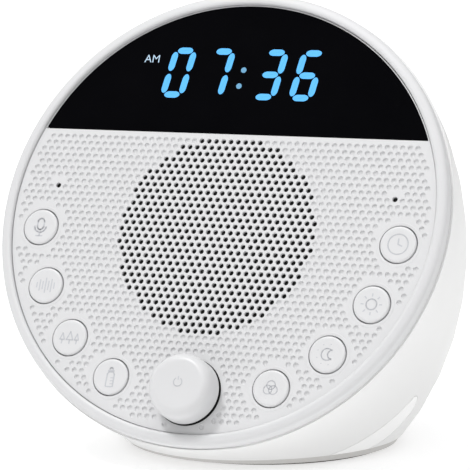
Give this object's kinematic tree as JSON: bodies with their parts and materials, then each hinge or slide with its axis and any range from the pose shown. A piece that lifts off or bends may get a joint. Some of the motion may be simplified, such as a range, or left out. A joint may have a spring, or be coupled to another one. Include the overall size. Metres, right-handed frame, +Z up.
{
  "type": "white noise sound machine",
  "caption": "Bedside white noise machine: round tilted face with speaker grille, clock display, press buttons and a volume knob on a domed housing.",
  "frame": {"origin": "centre of the foot ring's resting face, on the table", "axes": "+X to the machine's right seen from the front, +Y away from the listener, +Z up; the face looks towards -Y and leans back"},
  "size_m": [0.121, 0.1186, 0.1175],
  "materials": {
    "housing": "moulded satin, warm white",
    "front_white": "moulded satin, cool white",
    "buttons": "moulded satin, cool white",
    "knob": "moulded satin, cool white",
    "black_glass": "polished black window",
    "digit_light": "light blue, lit",
    "black_plastic": "black moulded",
    "circuit_board": "green board",
    "steel": "zinc plated",
    "magnet": "ferrite and plated steel",
    "paper_cone": "pressed paper",
    "base_plastic": "moulded white",
    "rubber_foot": "soft grey rubber",
    "light_diffuser": "translucent white"
  },
  "bodies": {
    "housing": {"base_plate": "base_plastic", "base_screws": "steel", "board_parts": "black_plastic", "board_screws": "steel", "button_board": "circuit_board", "button_switches": "black_plastic", "display_digits": "digit_light", "display_lens": "black_glass", "display_module": "black_plastic", "display_plate": "circuit_board", "encoder_body": "black_plastic", "face_panel": "front_white", "foot_ring": "rubber_foot", "front_ring": "front_white", "light_boards": "circuit_board", "light_lamps": "light_diffuser", "light_lens_left": "light_diffuser", "light_lens_right": "light_diffuser", "light_sensor": "black_plastic", "main_board": "circuit_board", "microphone": "black_plastic", "power_inlet": "steel", "rear_shell": "housing", "speaker_cone": "paper_cone", "speaker_frame": "steel", "speaker_gasket": "black_plastic", "speaker_magnet": "magnet", "speaker_screws": "steel"},
    "knob_plunger": {"encoder_plunger": "black_plastic"},
    "knob": {"volume_knob": "knob", "encoder_shaft": "steel"},
    "button_voice": {"button_voice": "buttons"},
    "button_rain": {"button_rain": "buttons"},
    "button_forest": {"button_forest": "buttons"},
    "button_lullaby": {"button_lullaby": "buttons"},
    "button_clock": {"button_clock": "buttons"},
    "button_bright": {"button_bright": "buttons"},
    "button_dim": {"button_dim": "buttons"},
    "button_colour": {"button_colour": "buttons"}
  },
  "joints": [
    {"name": "knob_push", "type": "slide", "parent": "housing", "child": "knob_plunger", "axis": [0, 0.9089, -0.4171], "range_m": [0, 0.0006], "stiffness_N_per_m": 900, "springref_m": -0.0006},
    {"name": "knob_turn", "type": "hinge", "parent": "knob_plunger", "child": "knob", "pos_m": [0, -0.04945, 0.02083], "axis": [0, -0.9089, 0.4171], "continuous": true},
    {"name": "voice_press", "type": "slide", "parent": "housing", "child": "button_voice", "axis": [0, 0.9089, -0.4171], "range_m": [0, 0.0007], "stiffness_N_per_m": 600, "springref_m": -0.0005},
    {"name": "rain_press", "type": "slide", "parent": "housing", "child": "button_rain", "axis": [0, 0.9089, -0.4171], "range_m": [0, 0.0007], "stiffness_N_per_m": 600, "springref_m": -0.0005},
    {"name": "forest_press", "type": "slide", "parent": "housing", "child": "button_forest", "axis": [0, 0.9089, -0.4171], "range_m": [0, 0.0007], "stiffness_N_per_m": 600, "springref_m": -0.0005},
    {"name": "lullaby_press", "type": "slide", "parent": "housing", "child": "button_lullaby", "axis": [0, 0.9089, -0.4171], "range_m": [0, 0.0007], "stiffness_N_per_m": 600, "springref_m": -0.0005},
    {"name": "clock_press", "type": "slide", "parent": "housing", "child": "button_clock", "axis": [0, 0.9089, -0.4171], "range_m": [0, 0.0007], "stiffness_N_per_m": 600, "springref_m": -0.0005},
    {"name": "bright_press", "type": "slide", "parent": "housing", "child": "button_bright", "axis": [0, 0.9089, -0.4171], "range_m": [0, 0.0007], "stiffness_N_per_m": 600, "springref_m": -0.0005},
    {"name": "dim_press", "type": "slide", "parent": "housing", "child": "button_dim", "axis": [0, 0.9089, -0.4171], "range_m": [0, 0.0007], "stiffness_N_per_m": 600, "springref_m": -0.0005},
    {"name": "colour_press", "type": "slide", "parent": "housing", "child": "button_colour", "axis": [0, 0.9089, -0.4171], "range_m": [0, 0.0007], "stiffness_N_per_m": 600, "springref_m": -0.0005}
  ]
}
